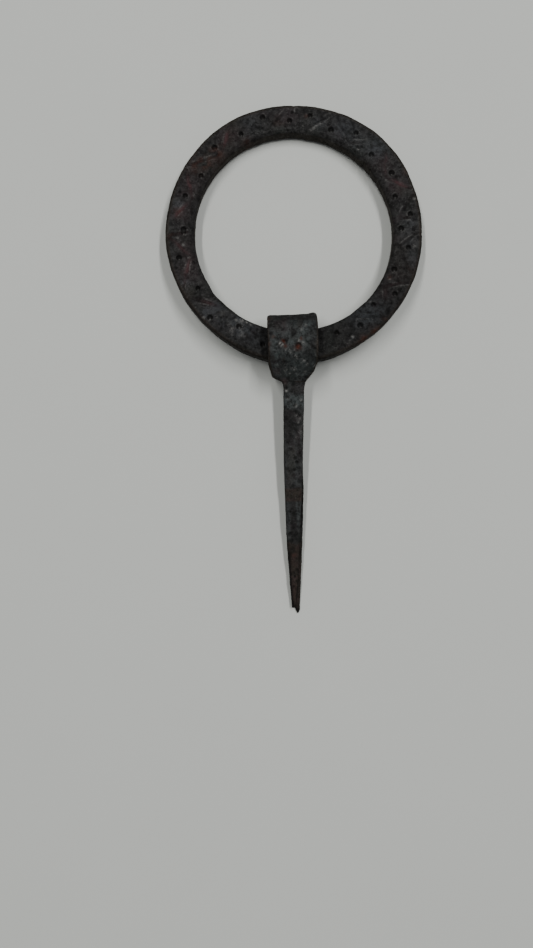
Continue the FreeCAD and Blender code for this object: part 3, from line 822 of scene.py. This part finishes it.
def spike_work(strap):
    """The marks, cuts and corrosion on the strap, and its points with all of them."""
    x, y, eye, skin = strap.x, strap.y, strap.eye, strap.skin
    eye_front = strap.front * eye * strap.face
    field = smoothstep(-0.2, -2.0, y) * smoothstep(-13.0, -11.5, y) * smoothstep(-8.0, -6.5, x)
    crossed = crossing_cuts(x, y)
    stroke = eye_strokes(strap)
    broken = smoothstep(-0.6, 0.3, noise(strap.points, *SPIKE_FIRMNESS))
    cut = incise(crossed, **CUT_SHAPE) * field + incise(stroke, **STROKE_SHAPE)
    cut = cut * broken * eye_front
    cut_mask = np.maximum(0.6 * hump(crossed, 0.25) * field, hump(stroke, 0.5)) * broken * eye_front
    bowls = punch_bowls(x, y, EYE_MARKS, EYE_MARK_RADIUS)
    struck = bowls.mask * eye_front
    holes = round_patches(x, y, SPIKE_PITS) * strap.front * strap.outside

    crown = CROWN_HEIGHT * (1 - eye) * strap.outside * (1 - ((x - strap.middle) / strap.half) ** 2)
    dents = layered_noise(strap.points, *SPIKE_DENTS) * (SPIKE_DENT_HEIGHT + EYE_DENT_EXTRA * eye)
    dents += noise(strap.streaked, *SPIKE_GRAIN) * GRAIN_HEIGHT * (1 - eye)
    relief, low = corroded(strap.points, SPIKE_CORROSION_SEED)
    lift = (crown + dents + relief * (1 - struck) + cut) * skin + EYE_MARK_RIM * bowls.rim * eye_front
    lift -= (bowls.depth * eye_front * EYE_MARK_DEPTH + holes) * strap.outside
    points = strap.points + strap.normal * lift[..., None]
    points[..., 1] += raised_corners(strap)
    return SimpleNamespace(
        points=points, eye_front=eye_front, field=field, crossed=crossed, cut_mask=cut_mask,
        bowls=bowls, holes=holes, low=low,
    )


def spike_skin(strap, clouds, long_clouds):
    """Brown skin and purple stain: the eye's rims, the brown lengths of the shank and the point."""
    rims = smoothstep(1.0, 0.2, strap.rim_distance) * strap.eye
    stain = 0.2 * rims * smoothstep(0.0, 0.6, long_clouds) * (strap.x < strap.middle)
    brown = 0.9 * rims + 0.3 * smoothstep(0.2, 0.8, long_clouds)
    for low_end, high_end, strength in BROWN_BANDS:
        above = smoothstep(low_end - 0.4, low_end + 0.4, strap.y)
        band = above * smoothstep(high_end + 0.6, high_end - 0.6, strap.y + clouds)
        brown += strength * band
        stain += 0.22 * band * smoothstep(-0.2, 0.6, clouds)
    brown += 0.8 * smoothstep(0.4, 0.0, np.abs(strap.y - NECK)) * smoothstep(0.2, 0.8, strap.x)
    stain += round_patches(strap.x, strap.y, SPIKE_STAIN) * strap.front * strap.outside
    return brown, stain


def spike_patina(strap, work, brown, point, long_clouds):
    """Bluish and greenish patina: most of the eye, a band below the neck and the shank's smooth skin."""
    y, eye = strap.y, strap.eye
    patina = eye * strap.face * (
        0.30 + 0.45 * noise(work.points, *EYE_PATINA_CLOUDS) + 0.25 * work.field
    )
    patina += round_patches(strap.x, y, EYE_PATINA) * strap.front * strap.face
    patina += 1.2 * np.exp(-(((y + 22.7) / 2.8) ** 4)) * smoothstep(-1.0, 0.0, long_clouds)
    upper_band = smoothstep(-59.0, -57.5, y) * smoothstep(-45.0, -47.5, y)
    patina += 0.15 * upper_band * smoothstep(-0.8, 0.4, long_clouds)
    smooth_skin = (0.3 + 0.5 * smoothstep(-63.0, -66.0, y)) * smoothstep(-83.2, -82.2, y)
    patina += smooth_skin * (1 - eye) * smoothstep(-0.4, 0.5, long_clouds)
    return patina * (1 - point) * (1 - np.clip(brown, 0, 1)) * strap.outside


def spike_wear_and_glint(strap, work, clouds):
    """Bare metal and painted glints: bright specks, worn edges and burrs beside the fine cuts."""
    wear_and_glint = round_patches(strap.x, strap.y, SPIKE_SPECKS) * strap.front * strap.outside
    wear_and_glint += 0.12 * smoothstep(0.5, 0.1, strap.rim_distance) * smoothstep(0.0, 0.7, clouds)
    burr = hump(work.crossed - 0.55, 0.25) * work.field
    wear_and_glint += 0.3 * work.eye_front * burr * smoothstep(0.0, 0.6, clouds)
    return wear_and_glint


def spike_dirt_and_shade(strap, work, point, clouds, long_clouds):
    """Dirt in cuts and craters; painted shade in marks, at the fold's end and inside; dark edges, pits and
    tip.
    """
    y, eye, rim_distance = strap.y, strap.eye, strap.rim_distance
    # Painted shade in the struck marks, and dirt in the cuts.
    dirt_and_shade = np.maximum(0.6 * work.eye_front * work.bowls.shade, 0.8 * work.cut_mask)
    # Painted shade on the end of the fold.
    fold_end = smoothstep(0.4, 0.9, strap.normal[..., 1]) * eye
    dirt_and_shade = np.maximum(dirt_and_shade, 0.8 * fold_end)
    dirt_and_shade = np.maximum(dirt_and_shade, 0.6 * smoothstep(0.35, 0.05, rim_distance))
    dirt_and_shade = np.maximum(dirt_and_shade, 0.85 * work.low * strap.skin) + 2.0 * work.holes
    dirt_and_shade = np.maximum(dirt_and_shade, 0.4 * smoothstep(0.0, -0.5, long_clouds) * (1 - eye))
    dirt_and_shade += 0.9 * smoothstep(1.3, 0.4, strap.from_left) * point * strap.front
    dirt_and_shade += 0.35 * smoothstep(0.1, -0.5, clouds) * smoothstep(-81.0, -84.0, y)
    dirt_and_shade = np.maximum(dirt_and_shade, 0.6 * smoothstep(0.4, 0.1, rim_distance) * (1 - eye))
    # Painted shade on the legs' inner faces, fainter towards the point.
    inside = (1.0 - strap.skin) * (0.9 - 0.65 * smoothstep(-66.0, -76.0, y))
    dirt_and_shade = np.maximum(dirt_and_shade, inside)
    return dirt_and_shade + 1.2 * smoothstep(BACK_END + 3.0, BACK_END + 0.8, y)


def spike_marks(strap, work):
    """What the spike's material reads at each point."""
    clouds = noise(work.points, *SPIKE_CLOUDS)
    long_clouds = noise(strap.streaked, *SPIKE_LONG_CLOUDS)
    point = smoothstep(-70.0, -100.0, strap.y)
    rust = round_patches(strap.x, strap.y, SPIKE_RUST) * strap.front * strap.outside
    brown, stain = spike_skin(strap, clouds, long_clouds)
    return {
        "rust": rust * smoothstep(-0.9, 0.2, clouds),
        "stain": stain,
        "patina": spike_patina(strap, work, brown, point, long_clouds),
        "wear_and_glint": spike_wear_and_glint(strap, work, clouds),
        "dirt_and_shade": spike_dirt_and_shade(strap, work, point, clouds, long_clouds),
        "brown": brown,
    }


def strap_faces(rows, columns):
    """Quads along the strap and a fan of triangles over each of its two ends."""
    faces = grid_faces(rows, columns, False).tolist()
    first_cap = rows * columns
    last_row = (rows - 1) * columns
    for i in range(columns):
        j = (i + 1) % columns
        faces.append((first_cap, j, i))
        faces.append((first_cap + 1, last_row + i, last_row + j))
    return faces


def build_spike():
    """The folded strap: eye, neck and two tapering legs, cut marks, patina and a rusty point."""
    strap = bare_strap()
    work = spike_work(strap)
    # The two points in the middles of the strap's ends carry no marks.
    unmarked = (0, 0)
    marks = {
        key: np.append(np.clip(value, 0, 1).ravel(), unmarked)
        for key, value in spike_marks(strap, work).items()
    }
    caps = [work.points[0].mean(axis=0), work.points[-1].mean(axis=0)]
    points = np.concatenate((work.points.reshape(-1, 3), caps))
    placed = turn_about_x(points, SPIKE_PITCH) + HINGE
    return make_piece("folded_spike", placed, strap_faces(*strap.x.shape), marks)


# -------------------- material

class Graph:
    """Short calls for the nodes that a material here is made of."""

    def __init__(self, name):
        self.material = bpy.data.materials.new(name)
        self.material.use_nodes = True
        self.nodes = self.material.node_tree.nodes
        self.links = self.material.node_tree.links
        self.shader = self.nodes["Principled BSDF"]
        self.place = self.nodes.new("ShaderNodeTexCoord").outputs["Object"]

    def fill(self, node, inputs):
        """Link or set each of a node's inputs, whichever its value calls for."""
        for key, value in inputs.items():
            if isinstance(value, bpy.types.NodeSocket):
                self.links.new(value, node.inputs[key])
            elif isinstance(value, tuple):
                node.inputs[key].default_value = (*value, 1.0)
            else:
                node.inputs[key].default_value = value

    def add_node(self, kind, inputs):
        """A new node with its inputs filled."""
        node = self.nodes.new(kind)
        self.fill(node, inputs)
        return node

    def noise(self, scale, detail, roughness):
        """Soft noise from 0 to 1, in cells per metre."""
        inputs = {"Vector": self.place, "Scale": scale, "Detail": detail, "Roughness": roughness}
        return self.add_node("ShaderNodeTexNoise", inputs).outputs["Fac"]

    def cells(self, scale):
        """Distance to the nearest of scattered points, in cells per metre."""
        inputs = {"Vector": self.place, "Scale": scale}
        return self.add_node("ShaderNodeTexVoronoi", inputs).outputs["Distance"]

    def mark(self, key):
        """One of the numbers that the mesh carries at its points."""
        node = self.nodes.new("ShaderNodeAttribute")
        node.attribute_name = key
        return node.outputs["Fac"]

    def spread(self, value, low, high, to_low=0.0, to_high=1.0):
        """A value taken smoothly from one range to another."""
        ends = {"Value": value, "From Min": low, "From Max": high, "To Min": to_low, "To Max": to_high}
        node = self.add_node("ShaderNodeMapRange", ends)
        node.interpolation_type = "SMOOTHSTEP"
        return node.outputs["Result"]

    def add(self, first, second):
        """Sum of two values; a new Math node adds."""
        return self.add_node("ShaderNodeMath", {0: first, 1: second}).outputs["Value"]

    def times(self, first, second):
        """Product of two values."""
        node = self.add_node("ShaderNodeMath", {0: first, 1: second})
        node.operation = "MULTIPLY"
        return node.outputs["Value"]

    def mix(self, share, below, above):
        """The lower colour with a share of the upper one laid over it."""
        node = self.nodes.new("ShaderNodeMix")
        node.data_type = "RGBA"
        number = {socket.identifier: place for place, socket in enumerate(node.inputs)}
        factor, lower, upper = number["Factor_Float"], number["A_Color"], number["B_Color"]
        self.fill(node, {factor: share, lower: below, upper: above})
        return next(socket for socket in node.outputs if socket.identifier == "Result_Color")


# Colours of the iron, in linear light.
DARK_IRON = (0.0042, 0.0040, 0.0040)
GREY_IRON = (0.0205, 0.0200, 0.0196)
PURPLE_IRON = (0.0240, 0.0175, 0.0195)
GREEN_IRON = (0.0120, 0.0148, 0.0125)
PALE_FLECK = (0.0780, 0.0790, 0.0780)
BROWN_SKIN = (0.0235, 0.0168, 0.0108)
STAIN = (0.0520, 0.0225, 0.0250)
DEEP_RUST = (0.0260, 0.0080, 0.0055)
DULL_RUST = (0.0620, 0.0215, 0.0125)
BRIGHT_RUST = (0.0900, 0.0215, 0.0100)
# Bare metal; the same colour paints glints and highlights.
BARE_METAL_AND_GLINT = (0.2300, 0.2250, 0.2150)
# Dirt; the same colour paints shade.
DIRT_AND_SHADE = (0.0020, 0.0018, 0.0016)
BLUISH_PATINA = (0.037, 0.042, 0.048)
GREENISH_PATINA = (0.0395, 0.0475, 0.0478)
RING_GREEN_SHARE = 0.4
SPIKE_GREEN_SHARE = 0.6

# The iron's textures: cells per metre, detail and roughness.
MOTTLE = (520.0, 8.0, 0.72)
FINE = (1500.0, 8.0, 0.75)
GRAIN = (4200.0, 4.0, 0.7)
TINT = (95.0, 4.0, 0.6)
PIT_CELLS = 1100.0

# The iron's sheen: where it is rubbed and where it is not, what dirt and painted shade add, and how strong
# it is.
DULL = 0.72
RUBBED = 0.48
DIRT_AND_SHADE_DULLING = 0.2
IRON_SPECULAR = 0.17

BUMP_STRENGTH = 0.8
BUMP_DISTANCE = 0.0003


def iron_colour(graph, mottle, fine, patina_colour, green_share):
    """Mottled oxide, then patina, brown skin, flecks, stain, bare metal, painted glints, dirt, painted
    shade, rust.
    """
    grain = graph.noise(*GRAIN)
    tint = graph.noise(*TINT)

    colour = graph.mix(graph.spread(mottle, 0.40, 0.60), DARK_IRON, GREY_IRON)
    colour = graph.mix(graph.spread(tint, 0.52, 0.66, 0.0, 0.55), colour, PURPLE_IRON)
    colour = graph.mix(graph.spread(tint, 0.48, 0.36, 0.0, green_share), colour, GREEN_IRON)

    # Each layer: the mark that it follows, if any, the noise that breaks it up, and its colour.
    for key, cloud, ends, above in (
        ("patina", mottle, (0.36, 0.58, 0.15, 1.0), patina_colour),
        ("patina", fine, (0.56, 0.66, 0.0, 0.6), PALE_FLECK),
        ("brown", mottle, (0.36, 0.60, 0.45, 0.95), BROWN_SKIN),
        (None, fine, (0.56, 0.66, 0.0, 0.65), PALE_FLECK),
        ("stain", fine, (0.34, 0.52, 0.35, 0.95), STAIN),
        # Bare metal and painted glints.
        ("wear_and_glint", fine, (0.40, 0.56), BARE_METAL_AND_GLINT),
    ):
        share = graph.spread(cloud, *ends)
        colour = graph.mix(graph.times(graph.mark(key), share) if key else share, colour, above)
    # Dirt and painted shade.
    colour = graph.mix(graph.times(graph.mark("dirt_and_shade"), 0.85), colour, DIRT_AND_SHADE)

    rust = graph.times(graph.mark("rust"), graph.spread(fine, 0.36, 0.54, 0.3, 1.0))
    fresh_rust = graph.mix(graph.spread(graph.mark("rust"), 0.85, 1.0), DULL_RUST, BRIGHT_RUST)
    rust_colour = graph.mix(graph.spread(grain, 0.42, 0.60), DEEP_RUST, fresh_rust)
    colour = graph.mix(rust, colour, rust_colour)
    return graph.mix(graph.spread(fine, 0.47, 0.33, 0.0, 0.85), colour, DIRT_AND_SHADE)


def iron_bump(graph, mottle, fine):
    """The finest relief: lumps, tooth and small pits."""
    relief = graph.add(graph.times(mottle, 0.7), graph.times(fine, 0.45))
    relief = graph.add(relief, graph.spread(graph.cells(PIT_CELLS), 0.05, 0.35, -0.2, 0.0))
    inputs = {"Strength": BUMP_STRENGTH, "Distance": BUMP_DISTANCE, "Height": relief}
    return graph.add_node("ShaderNodeBump", inputs).outputs["Normal"]


def iron_material(name, patina_colour, green_share):
    """Old forged iron: mottled oxide with patina, rust, worn edges, and a pitted, uneven sheen."""
    graph = Graph(name)
    mottle = graph.noise(*MOTTLE)
    fine = graph.noise(*FINE)
    rubbed = graph.spread(mottle, 0.35, 0.68, DULL, RUBBED)
    dirt_and_shade_dulling = graph.spread(graph.mark("dirt_and_shade"), 0.0, 1.0, 0.0, DIRT_AND_SHADE_DULLING)
    graph.fill(graph.shader, {
        "Base Color": iron_colour(graph, mottle, fine, patina_colour, green_share),
        "Roughness": graph.add(rubbed, dirt_and_shade_dulling),
        "Specular IOR Level": IRON_SPECULAR,
        "Normal": iron_bump(graph, mottle, fine),
    })
    return graph.material


# -------------------- stage, light and camera

FLOOR_SIZE = 6.0
FLOOR_CLOUDS = (14.0, 4.0, 0.6)
FLOOR_DARK = (0.585, 0.602, 0.576)
FLOOR_LIGHT = (0.612, 0.628, 0.602)
FLOOR_ROUGHNESS = 0.75
FLOOR_SPECULAR = 0.2

# Lights: name, place, width, length, watts and colour; places and sizes in metres.
LIGHTS = (
    ("light_right", (0.78, 0.55, 1.9), 0.13, 1.6, 25.2, (1.0, 0.995, 0.985)),
    ("light_left", (-0.70, 0.55, 1.9), 0.10, 1.6, 19.2, (1.0, 0.995, 0.97)),
)
SURROUND_COLOUR = (0.97, 0.985, 1.0, 1.0)
SURROUND_STRENGTH = 0.176


def floor_material():
    """A plain pale matt board with the faintest unevenness."""
    graph = Graph("pale_board")
    graph.fill(graph.shader, {
        "Base Color": graph.mix(graph.noise(*FLOOR_CLOUDS), FLOOR_DARK, FLOOR_LIGHT),
        "Roughness": FLOOR_ROUGHNESS,
        "Specular IOR Level": FLOOR_SPECULAR,
    })
    return graph.material


def add_floor():
    """The surface that the iron lies on."""
    bpy.ops.mesh.primitive_plane_add(size=FLOOR_SIZE, location=(0, 0, 0))
    floor = bpy.context.object
    floor.name = "floor"
    floor.data.materials.append(floor_material())


def add_light(name, place, width, length, power, colour):
    """A long narrow light lying along the y axis and tilted to face x = 0."""
    data = bpy.data.lights.new(name, "AREA")
    data.shape = "RECTANGLE"
    data.size = width
    data.size_y = length
    data.energy = power
    data.color = colour
    light = bpy.data.objects.new(name, data)
    bpy.context.scene.collection.objects.link(light)
    light.location = place
    light.rotation_euler = (0.0, math.atan2(place[0], place[2]), 0.0)


def add_lights():
    """Two long narrow lights, the stronger one on the right, and an even pale surround."""
    for light in LIGHTS:
        add_light(*light)
    world = bpy.data.worlds.new("pale_surround")
    world.use_nodes = True
    background = world.node_tree.nodes["Background"]
    background.inputs["Color"].default_value = SURROUND_COLOUR
    background.inputs["Strength"].default_value = SURROUND_STRENGTH
    bpy.context.scene.world = world


def add_camera():
    """Straight above the floor, between the ring and the spike's point and a little to the left."""
    data = bpy.data.cameras.new("camera")
    data.sensor_width = SENSOR_WIDTH
    data.lens = LENS
    data.clip_start = CLIP_START
    camera = bpy.data.objects.new("camera", data)
    bpy.context.scene.collection.objects.link(camera)
    x, y = RING_CENTRE[0] - CAMERA_LEFT, RING_CENTRE[1] - CAMERA_BELOW
    camera.location = (x * MM, y * MM, CAMERA_HEIGHT * MM)
    bpy.context.scene.camera = camera


def main():
    """Build, place and dress both pieces, then the stage."""
    ring_iron = iron_material("ring_iron", BLUISH_PATINA, RING_GREEN_SHARE)
    spike_iron = iron_material("spike_iron", GREENISH_PATINA, SPIKE_GREEN_SHARE)
    ring, spike = build_ring(), build_spike()
    for piece, node, body, slot, material in (
        (ring, "ring", "ring", "ring_iron", ring_iron),
        (spike, "split_spike", "spike", "spike_iron", spike_iron),
    ):
        piece.data.materials.append(material)
        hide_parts(node)
        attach(piece, body)
    add_floor()
    add_lights()
    add_camera()


main()
